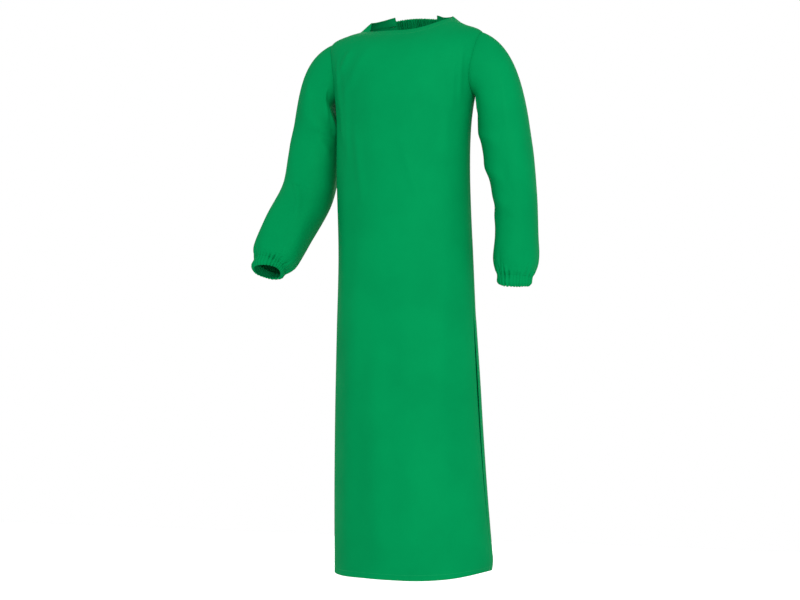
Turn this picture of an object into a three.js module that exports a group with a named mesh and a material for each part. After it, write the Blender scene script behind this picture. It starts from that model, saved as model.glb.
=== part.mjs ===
// Long back-opening protective gown: one-piece front, set-in sleeves with elastic cuffs, open back
// with two overlapping flaps on press studs, and a gathered elastic strap across the back neck.
// Millimetres, +Z up. The wearer faces -Y and the wearer's left is +X. The origin is at the neck
// base on the shoulder line, where the wearer's shoulders carry the gown.
import * as THREE from 'three';
import { mergeVertices } from 'three/addons/utils/BufferGeometryUtils.js';

// ---- driving dimensions -------------------------------------------------------------------
const FABRIC = 1.2; // wall of each fabric solid
const ARMHOLE_GAP = FABRIC + 0.4; // sleeve head's first ring to the armhole's edge
const SEAM_GAP = 0.5; // clear distance between two panels at a seam
const STUD_GAP = 0.6; // clear distance between a stud's pieces and the layers they grip
const LAYER_GAP = 0.9; // clear distance between two layers that lie on each other
const LAYER_STEP = FABRIC + LAYER_GAP; // middle of one layer to middle of the next

const HEM_DROP = 1268; // origin down to the hem
const NECK_HALF_WIDTH = 98;
const NECK_HALF_DEPTH = 60;
const SHOULDER_HALF_WIDTH = 178; // out to the armhole seam
const CHEST_DROP = 360; // origin down to the ring below the chest, where the skirt starts
const CHEST_HALF_WIDTH = 156;
const CHEST_FRONT = -135; // how far the chest stands forward, and the back behind, of the origin
const CHEST_BACK = 89;
const HEM_HALF_WIDTH = 187;
const HEM_FRONT = -140;
const HEM_BACK = 146;
const SHOULDER_RISE = 7.5; // how much higher than level the wearer's left shoulder is carried

const HEM_BAND = 22; // height of the turned hem
const NECK_FACING = 16; // width of the facing inside the neckline
const FLAP_HINGE_X = 75; // middle of the soft fold that each back flap swings on
const FLAP_FOLD = 18; // width of that soft fold
const FLAP_OVERLAP = 15; // how far each flap passes the centre line of the back
const FLAP_LAYERS = 7.4; // outer flap to inner flap, which the press studs fill
const FACING_WIDTH = 26; // stiffening strip along each flap's free edge
const NECK_GAP = 50; // half of the open width at the back neck
const STRAP_HEIGHT = 20;
const STRAP_LAP = 12; // strap end past the flap's edge
const STRAP_THICK = 3.4;
const STRAP_WALL = 0.6;
const STRAP_DROP = 3; // strap's top edge below the neckline
const STRAP_STAND_OFF = 3.6; // how much further out the strap stands at its studded end
const TAPE_HEIGHT = 11; // elastic tape inside the strap
const STUD_DROPS = [330, 520, 710]; // press studs down the back, below the origin
const STUD_RADIUS = 6;
const POST_GAP = 0.1 * STUD_RADIUS; // from a stud's post to the curved layer above it

const CUFF_THICK = 4.6; // two layers of fabric with the elastic between
const ELASTIC = 1.0; // thickness of every elastic tape
const ELBOW_FOLD = 50; // soft length each side of the elbow

const AROUND = 16; // facets round a sleeve
const GREEN = 0x009855;
const WHITE = 0xe9ece6;
const STEEL = 0xb9bcbc;

// ---- torso surface ------------------------------------------------------------------------
// Rings from the neckline (t = 0) over the shoulders (t = 2) to the chest (t = 5) and the hem
// (t = 11). Each ring is an ellipse of half width a between a front and a back y. Its height may
// differ at side, front and back, and rises towards the wearer's left.
const ring = (z, a, cx, frontY, backY, rise = 0) => ({
  a, b: (backY - frontY) / 2, cx, cy: (backY + frontY) / 2,
  side: z[0], front: z[1], back: z[2], rise,
});
const SKIRT_STEPS = 5;
const skirtRing = (step, ...sizes) => {
  const z = -CHEST_DROP - ((HEM_DROP - CHEST_DROP) * step) / SKIRT_STEPS;
  return ring([z, z, z], ...sizes);
};
const RINGS = [
  ring([-10, -31, 4], NECK_HALF_WIDTH, 4, -2 - NECK_HALF_DEPTH, NECK_HALF_DEPTH - 2, 9),
  ring([-25, -60, -25], 136, 0, -94, 72, SHOULDER_RISE),
  ring([-45, -97, -66], SHOULDER_HALF_WIDTH, 0, -114, 80, SHOULDER_RISE),
  ring([-88, -140, -120], 184, 0, -125, 83, 4),
  ring([-150, -190, -175], 170, -2, -134, 86, 2),
  ring([-235, -245, -240], 158, -6, CHEST_FRONT - 3, CHEST_BACK),
  skirtRing(0, CHEST_HALF_WIDTH, -9, CHEST_FRONT - 2, CHEST_BACK + 7),
  skirtRing(1, CHEST_HALF_WIDTH + 1, -5, CHEST_FRONT, CHEST_BACK + 16),
  skirtRing(2, 163, -5, -135, 115),
  skirtRing(3, 170, -3, -137, 125),
  skirtRing(4, 178, 2, -139, 136),
  skirtRing(SKIRT_STEPS, HEM_HALF_WIDTH, 10, HEM_FRONT, HEM_BACK),
];
const HEM_T = RINGS.length - 1;
const BACK_NECK_FALL = RINGS[0].back - RINGS[1].back; // millimetres that t = 0 to 1 falls at the back
const HEM_FALL = RINGS[HEM_T - 1].side - RINGS[HEM_T].side; // and t = 10 to 11 at the hem
const HALF_TURN_LIMIT = 0.98; // backAngle's lines stay this far off the side seams
const ARMHOLE = { t: 3.2, half: 1.2, front: 0.43, back: 0.62 }; // oval in (angle, t)

// Catmull-Rom value of one ring dimension at t.
function ringValue(key, t) {
  const i = Math.min(Math.floor(t), HEM_T - 1);
  const f = t - i;
  const at = (k) => RINGS[Math.min(Math.max(k, 0), HEM_T)][key];
  const [p0, p1, p2, p3] = [at(i - 1), at(i), at(i + 1), at(i + 2)];
  return 0.5 * (2 * p1 + (p2 - p0) * f + (2 * p0 - 5 * p1 + 4 * p2 - p3) * f * f
    + (3 * p1 - p0 - 3 * p2 + p3) * f * f * f);
}

// Angle 0 is the wearer's left side, PI/2 the front, PI the right side and -PI/2 the back.
function torso(angle, t) {
  const c = Math.cos(angle);
  const s = Math.sin(angle);
  const [a, b] = [ringValue('a', t), ringValue('b', t)];
  const x = ringValue('cx', t) + a * c;
  const side = ringValue('side', t);
  const end = s > 0 ? ringValue('front', t) : ringValue('back', t);
  const z = side + (end - side) * s * s + ringValue('rise', t) * c * Math.abs(c);
  return new THREE.Vector3(x, ringValue('cy', t) - b * s, z);
}

// Angle of the point on the back that has this x.
function backAngle(x, t) {
  const c = (x - ringValue('cx', t)) / ringValue('a', t);
  return -Math.acos(THREE.MathUtils.clamp(c, -HALF_TURN_LIMIT, HALF_TURN_LIMIT));
}

// Half-angle that the armhole cuts out of ring t, towards the front or the back.
function armholeAngle(t, reach) {
  const d = (t - ARMHOLE.t) / ARMHOLE.half;
  return Math.abs(d) < 1 ? reach * Math.sqrt(1 - d * d) : 0;
}

// ---- solids from surfaces -----------------------------------------------------------------
const object = new THREE.Group();

function addPiece(name, geometry, color, roughness = 0.6, metalness = 0) {
  geometry.deleteAttribute('uv');
  geometry.deleteAttribute('normal');
  const solid = mergeVertices(geometry, 1e-5);
  solid.computeVertexNormals();
  const material = new THREE.MeshStandardMaterial({ color, roughness, metalness });
  material.flatShading = true;
  const mesh = new THREE.Mesh(solid, material);
  mesh.name = name;
  object.add(mesh);
}

// Point of surface(u, v) moved along its normal.
function offsetPoint(surface, u, v, out) {
  const h = 1e-3;
  const du = surface(u + h, v).sub(surface(u - h, v));
  const dv = surface(u, v + h).sub(surface(u, v - h));
  return surface(u, v).addScaledVector(du.cross(dv).normalize(), out);
}

// A wall over surface(u, v), u and v from 0 to 1: a box grid carried onto the surface. The normal
// du x dv is the wall's positive side, and middle(u, v) is where the wall's middle lies along it.
function patchWall(surface, columns, rows, { wall = FABRIC, middle = () => 0 } = {}) {
  const geometry = new THREE.BoxGeometry(1, 1, 1, columns, rows, 1);
  const place = geometry.attributes.position;
  for (let i = 0; i < place.count; i++) {
    const [u, v] = [place.getX(i) + 0.5, place.getY(i) + 0.5];
    const p = offsetPoint(surface, u, v, middle(u, v) + place.getZ(i) * wall);
    place.setXYZ(i, p.x, p.y, p.z);
  }
  return geometry;
}

// A closed profile of (along, out) points carried round surface(u, along), where u is one turn.
function ringWall(surface, profile, around = AROUND) {
  const points = [...profile, profile[0]].map(([along, out]) => new THREE.Vector2(100 + out, along));
  const geometry = new THREE.LatheGeometry(points, around);
  const place = geometry.attributes.position;
  for (let i = 0; i < place.count; i++) {
    const turn = (Math.floor(i / points.length) % around) / around;
    const point = points[i % points.length];
    const p = offsetPoint(surface, turn, point.y, point.x - 100);
    place.setXYZ(i, p.x, p.y, p.z);
  }
  return geometry;
}

// Profile of a plain wall from one end to the other, outer side first.
function wallProfile(from, to, rows, wall = FABRIC) {
  const steps = Array.from({ length: rows + 1 }, (_, k) => from + ((to - from) * k) / rows);
  return [...steps.map((s) => [s, wall / 2]), ...steps.reverse().map((s) => [s, -wall / 2])];
}

// ---- rows down the gown -------------------------------------------------------------------
// v from 0 to 1 runs from the hem to the neckline, with more rows round the armhole's two ends.
const ROW_TS = [0, 0.3, 0.65, 1, 1.5, ARMHOLE.t - ARMHOLE.half - 0.001];
const ARMHOLE_ROWS = 9;
for (let k = 1; k < ARMHOLE_ROWS; k++) {
  ROW_TS.push(ARMHOLE.t - ARMHOLE.half * Math.cos((Math.PI * k) / ARMHOLE_ROWS));
}
ROW_TS.push(ARMHOLE.t + ARMHOLE.half + 0.001, 5, 5.4, 5.8, 6.3, 7, 7.7, 8.5, 9.3, 10.1, HEM_T);
const ROWS = ROW_TS.length - 1;

function rowT(v, rowTs = ROW_TS) {
  const rows = rowTs.length - 1;
  const r = THREE.MathUtils.clamp((1 - v) * rows, 0, rows - 1e-9);
  const i = Math.floor(r);
  return THREE.MathUtils.lerp(rowTs[i], rowTs[i + 1], r - i);
}

// The panels' own rows from topT to bottomT, so that a strip's facets lie along the panel's.
function rowsFrom(topT, bottomT) {
  return [topT, ...ROW_TS.filter((t) => t > topT && t < bottomT), bottomT];
}

// Surface between two edges, each an angle at t. It turns from the first edge to the second.
function between(edgeA, edgeB, rowTs = ROW_TS) {
  return (u, v) => {
    const t = rowT(v, rowTs);
    return torso(THREE.MathUtils.lerp(edgeA(t), edgeB(t), u), t);
  };
}

const seam = (t) => SEAM_GAP / 2 / ringValue('a', t); // a seam's half gap as an angle
const hinge = FLAP_HINGE_X;
const foldIn = hinge - FLAP_FOLD / 2;
const foldOut = hinge + FLAP_FOLD / 2;

// x of each flap's free edge: apart at the neck, over each other below the shoulder blades.
const V_END_T = 5;
function flapEdge(t) {
  const k = THREE.MathUtils.smoothstep(t, 0, V_END_T);
  return THREE.MathUtils.lerp(NECK_GAP, -FLAP_OVERLAP, k);
}

// ---- front and back panels ----------------------------------------------------------------
const rightFrontEdge = (t) => Math.PI - armholeAngle(t, ARMHOLE.front) - seam(t);
const leftFrontEdge = (t) => armholeAngle(t, ARMHOLE.front) + seam(t);
addPiece('front_panel', patchWall(between(rightFrontEdge, leftFrontEdge), 24, ROWS), GREEN);

// The wearer's left back half in order from the side seam inwards. side is 1 left, -1 right, and
// the right half mirrors the angles about the back's centre.
const mirrorBack = (angle, side) => (side > 0 ? angle : -Math.PI - angle);
const ordered = (side, edgeA, edgeB) => (side > 0 ? [edgeA, edgeB] : [edgeB, edgeA]);

// Angle on the back of side * x, the seam's half gap further out (sign 1) or in (sign -1).
const backLine = (side, x, gap) => (t) => backAngle(side * (x(t) + (gap * SEAM_GAP) / 2), t);
const backSeam = (side) => (t) => mirrorBack(-armholeAngle(t, ARMHOLE.back) - seam(t), side);

// The left flap lies under the right one, so it sinks inwards where they overlap. It sinks between
// these two xs, and only below the open neck.
const SINK_FROM = 42;
const SINK_TO = FLAP_OVERLAP + 4;
const innerDepth = (side, t, x) => (side > 0
  ? -FLAP_LAYERS * THREE.MathUtils.smoothstep(-x, -SINK_FROM, -SINK_TO)
    * THREE.MathUtils.smoothstep(t, 2, 4)
  : 0);

function flapSurface(side, edgeA, edgeB, rowTs = ROW_TS) {
  const flat = between(edgeA, edgeB, rowTs);
  return { flat, middle: (u, v) => innerDepth(side, rowT(v, rowTs), flat(u, v).x) };
}

const bandT = HEM_BAND / HEM_FALL;
const FACING_TOP_T = 3; // the facing strips start where the flaps begin to close
for (const side of [1, -1]) {
  const word = side > 0 ? 'left' : 'right';
  const fixed = ordered(side, backSeam(side), backLine(side, () => foldOut, 1));
  const fold = ordered(side, backLine(side, () => foldOut, -1), backLine(side, () => foldIn, 1));
  const free = (t) => flapEdge(t) + SEAM_GAP;
  const flap = ordered(side, backLine(side, () => foldIn, -1), backLine(side, free, 0));
  addPiece(`back_side_${word}`, patchWall(between(...fixed), 7, ROWS), GREEN);
  addPiece(`back_fold_${word}`, patchWall(between(...fold), 2, ROWS), GREEN);
  const surface = flapSurface(side, ...flap);
  addPiece(`back_flap_${word}`, patchWall(surface.flat, 5, ROWS, { middle: surface.middle }), GREEN);

  // Facing strip inside the free edge, from below the open neck to the hem band.
  const facingEdge = (t) => flapEdge(t) + 1;
  const facingBack = (t) => flapEdge(t) + FACING_WIDTH;
  const strip = ordered(side, backLine(side, facingBack, 0), backLine(side, facingEdge, 0));
  const facingTs = rowsFrom(FACING_TOP_T, HEM_T - 1.5 * bandT);
  const facing = flapSurface(side, ...strip, facingTs);
  addPiece(`flap_facing_${word}`, patchWall(facing.flat, 2, facingTs.length - 1, {
    middle: (u, v) => facing.middle(u, v) - LAYER_STEP,
  }), GREEN);

  // Turned hem of the flap, inside it.
  const hemEdges = [backLine(side, () => foldIn - 1, 0), backLine(side, facingEdge, 0)];
  const hem = flapSurface(side, ...ordered(side, ...hemEdges), [HEM_T - bandT, HEM_T]);
  addPiece(`hem_band_flap_${word}`, patchWall(hem.flat, 5, 1, {
    middle: (u, v) => hem.middle(u, v) - LAYER_STEP,
  }), GREEN);
}

// Turned hem and neck facing, from fold to fold round the front.
const foldLine = foldOut + 1;
const roundFront = [(t) => Math.PI * 2 + backAngle(-foldLine, t), (t) => backAngle(foldLine, t)];
const layerIn = { middle: () => -LAYER_STEP };
const hemBand = between(...roundFront, [HEM_T - bandT, HEM_T]);
addPiece('hem_band_front', patchWall(hemBand, 38, 1, layerIn), GREEN);
const NECKLINE_T = 0.02; // the facing stays just below the neckline's own edge
const neckBand = between(...roundFront, [NECKLINE_T, NECK_FACING / BACK_NECK_FALL]);
addPiece('neck_facing', patchWall(neckBand, 36, 2, layerIn), GREEN);

// ---- neck strap ---------------------------------------------------------------------------
// A flat fabric tube over an elastic tape, from the left flap's corner, where it is sewn, to the
// right flap's corner, where a press stud holds it. It runs outside both corners.
const STRAP_END = NECK_GAP + STRAP_LAP;
const STUD_X = -NECK_GAP - STRAP_LAP / 2 - 1;
const strapOut = (x) => {
  const sewn = FABRIC / 2 + LAYER_GAP + STRAP_THICK / 2;
  const studded = sewn + STRAP_STAND_OFF;
  return THREE.MathUtils.lerp(sewn, studded, THREE.MathUtils.smoothstep(-x, -NECK_GAP, NECK_GAP));
};
const strapT = (up) => (STRAP_HEIGHT / 2 - up + STRAP_DROP) / BACK_NECK_FALL;
const strapPoint = (along, up) => {
  const x = THREE.MathUtils.lerp(STRAP_END, -STRAP_END, along);
  return { x, t: strapT(up) };
};

// Back surface as flat(x / 100, t), and its unit normal pointing away from the wearer.
const flatBack = (u, v) => torso(backAngle(u * 100, v), v);
function backNormal(x, t) {
  const outward = offsetPoint(flatBack, x / 100, t, 1).sub(flatBack(x / 100, t));
  return outward.multiplyScalar(Math.sign(outward.y) || 1);
}

// Rounded flat section of the strap: one turn of (up, out).
function strapSection(turn, height, thick) {
  const angle = turn * Math.PI * 2;
  const squash = (value) => Math.sign(value) * Math.abs(value) ** 0.35;
  return [(height / 2) * squash(Math.cos(angle)), (thick / 2) * squash(Math.sin(angle))];
}

function strapTube(height, thick, wall, inset) {
  const surface = (turn, along) => {
    const [up, out] = strapSection(turn, height, thick);
    const { x, t } = strapPoint(along, up);
    return flatBack(x / 100, t).addScaledVector(backNormal(x, t), strapOut(x) + out);
  };
  return ringWall(surface, wallProfile(inset, 1 - inset, 10, wall), 12);
}
const casing = strapTube(STRAP_HEIGHT - STRAP_WALL, STRAP_THICK - STRAP_WALL, STRAP_WALL, 0.004);
addPiece('neck_strap_casing', casing, GREEN);

const TAPE_INSET = 0.015; // share of the strap's length that each end of the tape stays back
const tape = (u, v) => {
  const along = THREE.MathUtils.lerp(1 - TAPE_INSET, TAPE_INSET, u);
  const { x, t } = strapPoint(along, (v - 0.5) * TAPE_HEIGHT);
  return flatBack(x / 100, t).addScaledVector(backNormal(x, t), strapOut(x));
};
addPiece('neck_strap_elastic', patchWall(tape, 10, 1, { wall: ELASTIC }), WHITE);

// ---- press studs --------------------------------------------------------------------------
// Each stud is four turned pieces on one axis: cap and socket on the outer layer, stud and post on
// the inner one. Profiles are (radius, height), from the axis out and back to the axis.
function turnedPiece(name, profile, origin, outward, height) {
  const geometry = new THREE.LatheGeometry(profile.map(([r, h]) => new THREE.Vector2(r, h)), 12);
  const turn = new THREE.Quaternion().setFromUnitVectors(new THREE.Vector3(0, 1, 0), outward);
  geometry.applyQuaternion(turn);
  const at = origin.clone().addScaledVector(outward, height);
  geometry.translate(at.x, at.y, at.z);
  addPiece(name, geometry, STEEL, 0.3, 1);
}

const R = STUD_RADIUS;
const CAP = [[0, 0], [R, 0], [R, 0.5], [R * 0.7, 1.2], [0, 1.5]];
const SOCKET_HEIGHT = 1.4;
const SOCKET_BORE = 2.3;
const SOCKET = [
  [SOCKET_BORE, 0], [R - 0.6, 0], [R - 0.6, SOCKET_HEIGHT], [SOCKET_BORE, SOCKET_HEIGHT],
  [SOCKET_BORE, 0],
];
const STUD = [[0, 0], [R - 0.8, 0], [R - 0.8, 0.6], [1.9, 0.8], [1.9, 2.7], [0, 2.9]];
const POST_HEIGHT = 0.8;
const POST = [[0, 0], [R - 1, 0], [R - 1, POST_HEIGHT], [0, POST_HEIGHT]];

// heights are over the back surface: the outer layer's outside and inside, and the inner layer's
// outside (below) and inside (under).
function pressStud(number, x, t, heights) {
  const origin = flatBack(x / 100, t);
  const outward = backNormal(x, t);
  const { outside, inside, below, under } = heights;
  turnedPiece(`stud_cap_${number}`, CAP, origin, outward, outside + STUD_GAP);
  turnedPiece(`stud_socket_${number}`, SOCKET, origin, outward, inside - STUD_GAP - SOCKET_HEIGHT);
  turnedPiece(`stud_ball_${number}`, STUD, origin, outward, below + STUD_GAP);
  turnedPiece(`stud_post_${number}`, POST, origin, outward, under - POST_GAP - POST_HEIGHT);
}

const face = FABRIC / 2;
STUD_DROPS.forEach((drop, k) => {
  let t = 5;
  while (torso(-Math.PI / 2, t).z > -drop) t += 0.01;
  pressStud(k + 1, 0, t, {
    outside: face,
    inside: -face - LAYER_STEP,
    below: -FLAP_LAYERS + face,
    under: -FLAP_LAYERS - face - LAYER_STEP,
  });
});
pressStud(STUD_DROPS.length + 1, STUD_X, strapT(0), {
  outside: strapOut(STUD_X) + STRAP_THICK / 2,
  inside: strapOut(STUD_X) - STRAP_THICK / 2,
  below: face,
  under: -face,
});

// ---- sleeves ------------------------------------------------------------------------------
// A sleeve head curves from the armhole onto the first ring, then a tube follows the arm. Stations
// are ring centres down the arm with half width (across, in the arm's own plane) and half depth.
const SLEEVES = {
  left: {
    side: 1,
    stations: [
      { at: [225, -4, -246], across: 56, depth: 62 },
      { at: [239, -3, -330], across: 54, depth: 60 },
      { at: [253, 0, -415], across: 46, depth: 56 },
      { at: [255, -3, -495], across: 47, depth: 55 },
      { at: [254, -6, -550], across: 49, depth: 52 },
      { at: [252, -8, -588], across: 39, depth: 40 },
      { at: [251, -9, -612], across: 39, depth: 38 },
    ],
  },
  right: {
    side: -1,
    stations: [
      { at: [-221, 2, -243], across: 57, depth: 62 },
      { at: [-236, 8, -318], across: 59, depth: 61 },
      { at: [-253, 6, -396], across: 60, depth: 60 },
      { at: [-282, -42, -482], across: 58, depth: 58 },
      { at: [-301, -73, -541], across: 50, depth: 50 },
      { at: [-308, -87, -566], across: 39, depth: 39 },
      { at: [-315, -97, -585], across: 38, depth: 37 },
    ],
  },
};

function sleeveSurfaces({ side, stations }) {
  const points = stations.map((s) => new THREE.Vector3(...s.at));
  const centres = new THREE.CatmullRomCurve3(points, false, 'centripetal');
  const last = stations.length - 1;
  const sizeAt = (s, key) => {
    const i = Math.min(Math.floor(s * last), last - 1);
    const f = THREE.MathUtils.clamp(s * last - i, 0, 1);
    return THREE.MathUtils.lerp(stations[i][key], stations[i + 1][key], f * f * (3 - 2 * f));
  };
  const forward = new THREE.Vector3(0, -1, 0);
  // One turn of the ring starts at the outer side and goes towards the front.
  const tube = (turn, s) => {
    const along = centres.getTangent(THREE.MathUtils.clamp(s, 0, 1));
    const outer = new THREE.Vector3().crossVectors(along, forward).normalize();
    const front = new THREE.Vector3().crossVectors(outer, along).normalize();
    if (outer.x * side < 0) outer.negate();
    if (front.y > 0) front.negate();
    const angle = turn * Math.PI * 2 * side;
    return centres.getPoint(THREE.MathUtils.clamp(s, 0, 1))
      .addScaledVector(outer, sizeAt(s, 'across') * Math.cos(angle))
      .addScaledVector(front, sizeAt(s, 'depth') * Math.sin(angle) * side);
  };
  // Armhole seam point for the same turn: top, front, bottom, back.
  const armhole = (turn) => {
    const angle = turn * Math.PI * 2;
    const reach = Math.sin(angle) > 0 ? ARMHOLE.front : ARMHOLE.back;
    const half = Math.sin(angle) * reach;
    const t = ARMHOLE.t - ARMHOLE.half * Math.cos(angle);
    return torso(side > 0 ? half : Math.PI - half, t);
  };
  const start = centres.getTangent(0);
  const head = (turn, along) => {
    const from = armhole(turn);
    const to = tube(turn, 0);
    const chord = from.distanceTo(to);
    const s = THREE.MathUtils.lerp(ARMHOLE_GAP / chord, 1, along);
    const top = Math.cos(turn * Math.PI * 2);
    const away = new THREE.Vector3(side * 0.93, 0, -0.5 + 0.14 * top).normalize();
    const b1 = from.clone().addScaledVector(away, 0.37 * chord);
    const b2 = to.clone().addScaledVector(start, -0.41 * chord);
    const k = 1 - s;
    return from.multiplyScalar(k * k * k).addScaledVector(b1, 3 * k * k * s)
      .addScaledVector(b2, 3 * k * s * s).addScaledVector(to, s * s * s);
  };
  return { tube, head, length: centres.getLength(), centres };
}

for (const [word, sleeve] of Object.entries(SLEEVES)) {
  const { tube, head, length, centres } = sleeveSurfaces(sleeve);
  // turned so that the normal du x dv points out of the sleeve on both sides
  const flip = (surface) => (turn, s) => surface(sleeve.side > 0 ? turn : -turn, s);
  const out = (surface) => flip((turn, s) => surface(-turn, s));
  const gap = SEAM_GAP / length;
  const elbow = 2 / (sleeve.stations.length - 1);
  const foldFrom = elbow - ELBOW_FOLD / length;
  const foldTo = elbow + ELBOW_FOLD / length;
  const cuffFrom = (sleeve.stations.length - 2) / (sleeve.stations.length - 1);
  addPiece(`sleeve_head_${word}`, ringWall(out(head), wallProfile(0, 0.997, 5)), GREEN);
  addPiece(`sleeve_upper_${word}`, ringWall(out(tube), wallProfile(gap, foldFrom - gap, 2)), GREEN);
  addPiece(`sleeve_elbow_${word}`, ringWall(out(tube), wallProfile(foldFrom, foldTo, 4)), GREEN);
  const lower = wallProfile(foldTo + gap, cuffFrom - gap, 5);
  addPiece(`sleeve_lower_${word}`, ringWall(out(tube), lower), GREEN);
  const band = (1 - cuffFrom) * 0.98;
  const fold = LAYER_STEP / length;
  const deep = FABRIC / 2 - CUFF_THICK;
  const cuff = [
    [cuffFrom, FABRIC / 2], [1 - band / 2, FABRIC / 2], [0.999, FABRIC / 2],
    [0.999, deep], [1 - band / 2, deep], [cuffFrom, deep],
    [cuffFrom, deep + FABRIC], [0.999 - fold, deep + FABRIC],
    [0.999 - fold, -FABRIC / 2], [cuffFrom, -FABRIC / 2],
  ];
  addPiece(`cuff_casing_${word}`, ringWall(out(tube), cuff), GREEN);
  const middle = (FABRIC / 2 + deep) / 2;
  const elastic = [
    [cuffFrom + fold, middle + ELASTIC / 2], [0.997 - 2 * fold, middle + ELASTIC / 2],
    [0.997 - 2 * fold, middle - ELASTIC / 2], [cuffFrom + fold, middle - ELASTIC / 2],
  ];
  addPiece(`cuff_elastic_${word}`, ringWall(out(tube), elastic), WHITE);
}

export default object;
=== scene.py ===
# %% [markdown]
# # A long back-opening gown in coated cloth
# The gown is an all-round garment for wet or dirty work on a ward: a plain one-piece front, long
# set-in sleeves that end in elastic cuffs, and an open back whose two flaps close over each other
# on press studs. A gathered elastic strap crosses the back of the neck.
# Every piece is a thin wall around a surface that is worked out with numpy, because cloth that
# hangs on a body is one smooth sheet with soft folds, and a formula gives such a sheet at any
# fineness.

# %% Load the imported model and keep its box
import math
import bmesh
import bpy
import numpy as np
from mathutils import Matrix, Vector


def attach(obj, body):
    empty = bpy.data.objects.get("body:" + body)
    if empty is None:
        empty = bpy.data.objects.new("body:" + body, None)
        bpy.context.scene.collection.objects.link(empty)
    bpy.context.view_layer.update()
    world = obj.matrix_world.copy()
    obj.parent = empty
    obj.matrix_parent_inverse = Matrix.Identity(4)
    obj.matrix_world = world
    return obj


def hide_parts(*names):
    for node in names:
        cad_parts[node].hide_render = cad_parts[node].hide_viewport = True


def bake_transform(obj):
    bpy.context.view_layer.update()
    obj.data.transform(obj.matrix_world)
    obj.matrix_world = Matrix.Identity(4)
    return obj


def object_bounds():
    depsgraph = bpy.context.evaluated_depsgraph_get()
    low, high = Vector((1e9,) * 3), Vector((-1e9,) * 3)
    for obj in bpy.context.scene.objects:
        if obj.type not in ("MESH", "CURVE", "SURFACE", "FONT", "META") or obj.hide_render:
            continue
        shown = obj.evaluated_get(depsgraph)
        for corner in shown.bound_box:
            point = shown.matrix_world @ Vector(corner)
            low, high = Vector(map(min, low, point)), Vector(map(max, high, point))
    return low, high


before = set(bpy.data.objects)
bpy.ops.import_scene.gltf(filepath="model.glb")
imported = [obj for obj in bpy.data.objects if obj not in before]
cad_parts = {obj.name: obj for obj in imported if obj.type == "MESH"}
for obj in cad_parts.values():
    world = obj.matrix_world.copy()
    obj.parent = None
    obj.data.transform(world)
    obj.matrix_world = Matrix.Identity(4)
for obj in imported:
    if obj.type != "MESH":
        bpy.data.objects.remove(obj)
cad_box = [list(corner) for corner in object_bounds()]

# %% [markdown]
# ## The camera
# A garment is looked at from about its own mid height, from far away with a long lens, so that the
# shoulders and the hem keep their true proportions. The camera stands on the wearer's left and sees
# the front a little from the side.

# %% Camera on the wearer's left, level with the middle of the gown
VIEW_AZIMUTH = math.radians(18)
VIEW_DISTANCE = 4.6
VIEW_WIDTH = 1.84  # width that the picture takes in at the gown, in metres
VIEW_AIM = (-0.022, -0.644)  # aim to the right of the origin, and above it
SENSOR = 36.0

view_right = np.array((math.cos(VIEW_AZIMUTH), math.sin(VIEW_AZIMUTH), 0.0))
view_back = np.array((math.sin(VIEW_AZIMUTH), -math.cos(VIEW_AZIMUTH), 0.0))
aim = VIEW_AIM[0] * view_right + np.array((0.0, 0.0, VIEW_AIM[1]))

camera = bpy.data.objects.new("camera", bpy.data.cameras.new("camera"))
camera.data.sensor_width = SENSOR
camera.data.lens = SENSOR * VIEW_DISTANCE / VIEW_WIDTH
camera.location = aim + view_back * VIEW_DISTANCE
camera.rotation_euler = (math.radians(90), 0.0, VIEW_AZIMUTH)
bpy.context.scene.collection.objects.link(camera)
bpy.context.scene.camera = camera
print("camera lens", round(camera.data.lens, 1), "mm at", VIEW_DISTANCE, "m")

# %% [markdown]
# ## Shader expressions
# A material is easier to read as a sum than as a drawing of nodes. `Value` wraps one socket, and
# each operator on it adds the Math node that does that sum. `Shader` makes every other node.

# %% A socket that can be added, subtracted and multiplied
class Value:
    """One output socket. a + b, a - b and a * b, in either order, and sine() add Math nodes."""

    def __init__(self, shader, socket):
        self.shader = shader
        self.socket = socket

    def _sum(self, operation, first, second):
        return self.shader.node("Math", {"operation": operation}, {0: first, 1: second})

    def __add__(self, other):
        return self._sum("ADD", self, other)

    def __sub__(self, other):
        return self._sum("SUBTRACT", self, other)

    def __mul__(self, other):
        return self._sum("MULTIPLY", self, other)

    def __rsub__(self, other):
        return self._sum("SUBTRACT", other, self)

    __radd__ = __add__
    __rmul__ = __mul__

    def sine(self):
        return self.shader.node("Math", {"operation": "SINE"}, {0: self})

    def sibling(self, output):
        """Another output of the same node."""
        return Value(self.shader, self.socket.node.outputs[output])


class Shader:
    """A material's node tree, with one method that makes any node."""

    def __init__(self, name):
        self.material = bpy.data.materials.new(name)
        self.material.use_nodes = True
        self.tree = self.material.node_tree
        self.tree.nodes.clear()

    def node(self, kind, settings=None, inputs=None, output=0):
        """Adds a node of a kind, sets its settings, then fills its inputs with values or links."""
        node = self.tree.nodes.new("ShaderNode" + kind)
        for key, setting in (settings or {}).items():
            setattr(node, key, setting)
        for key, given in (inputs or {}).items():
            if isinstance(given, Value):
                self.tree.links.new(given.socket, node.inputs[key])
            else:
                node.inputs[key].default_value = given
        return Value(self, node.outputs[output])

    def finish(self, bsdf):
        """Joins the surface shader to the output and gives back the material."""
        out = self.tree.nodes.new("ShaderNodeOutputMaterial")
        self.tree.links.new(bsdf.socket, out.inputs["Surface"])
        return self.material


def linear(red, green, blue):
    """Screen colour from 0 to 255 as the linear colour that shaders take: the sRGB curve undone."""
    screen = np.array((red, green, blue)) / 255
    light = np.where(screen <= 0.04045, screen / 12.92, ((screen + 0.055) / 1.055) ** 2.4)
    return (*light.tolist(), 1.0)

# %% [markdown]
# ## Coated cloth
# The cloth is a fine knit with a thin plastic coat on its outer side. The coat fills the knit, so
# the colour is strong and even, the knit shows only as a very fine grain, and the shine is low and
# a little uneven where the coat is thicker. The knit follows each panel's own UV map, in metres.

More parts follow.
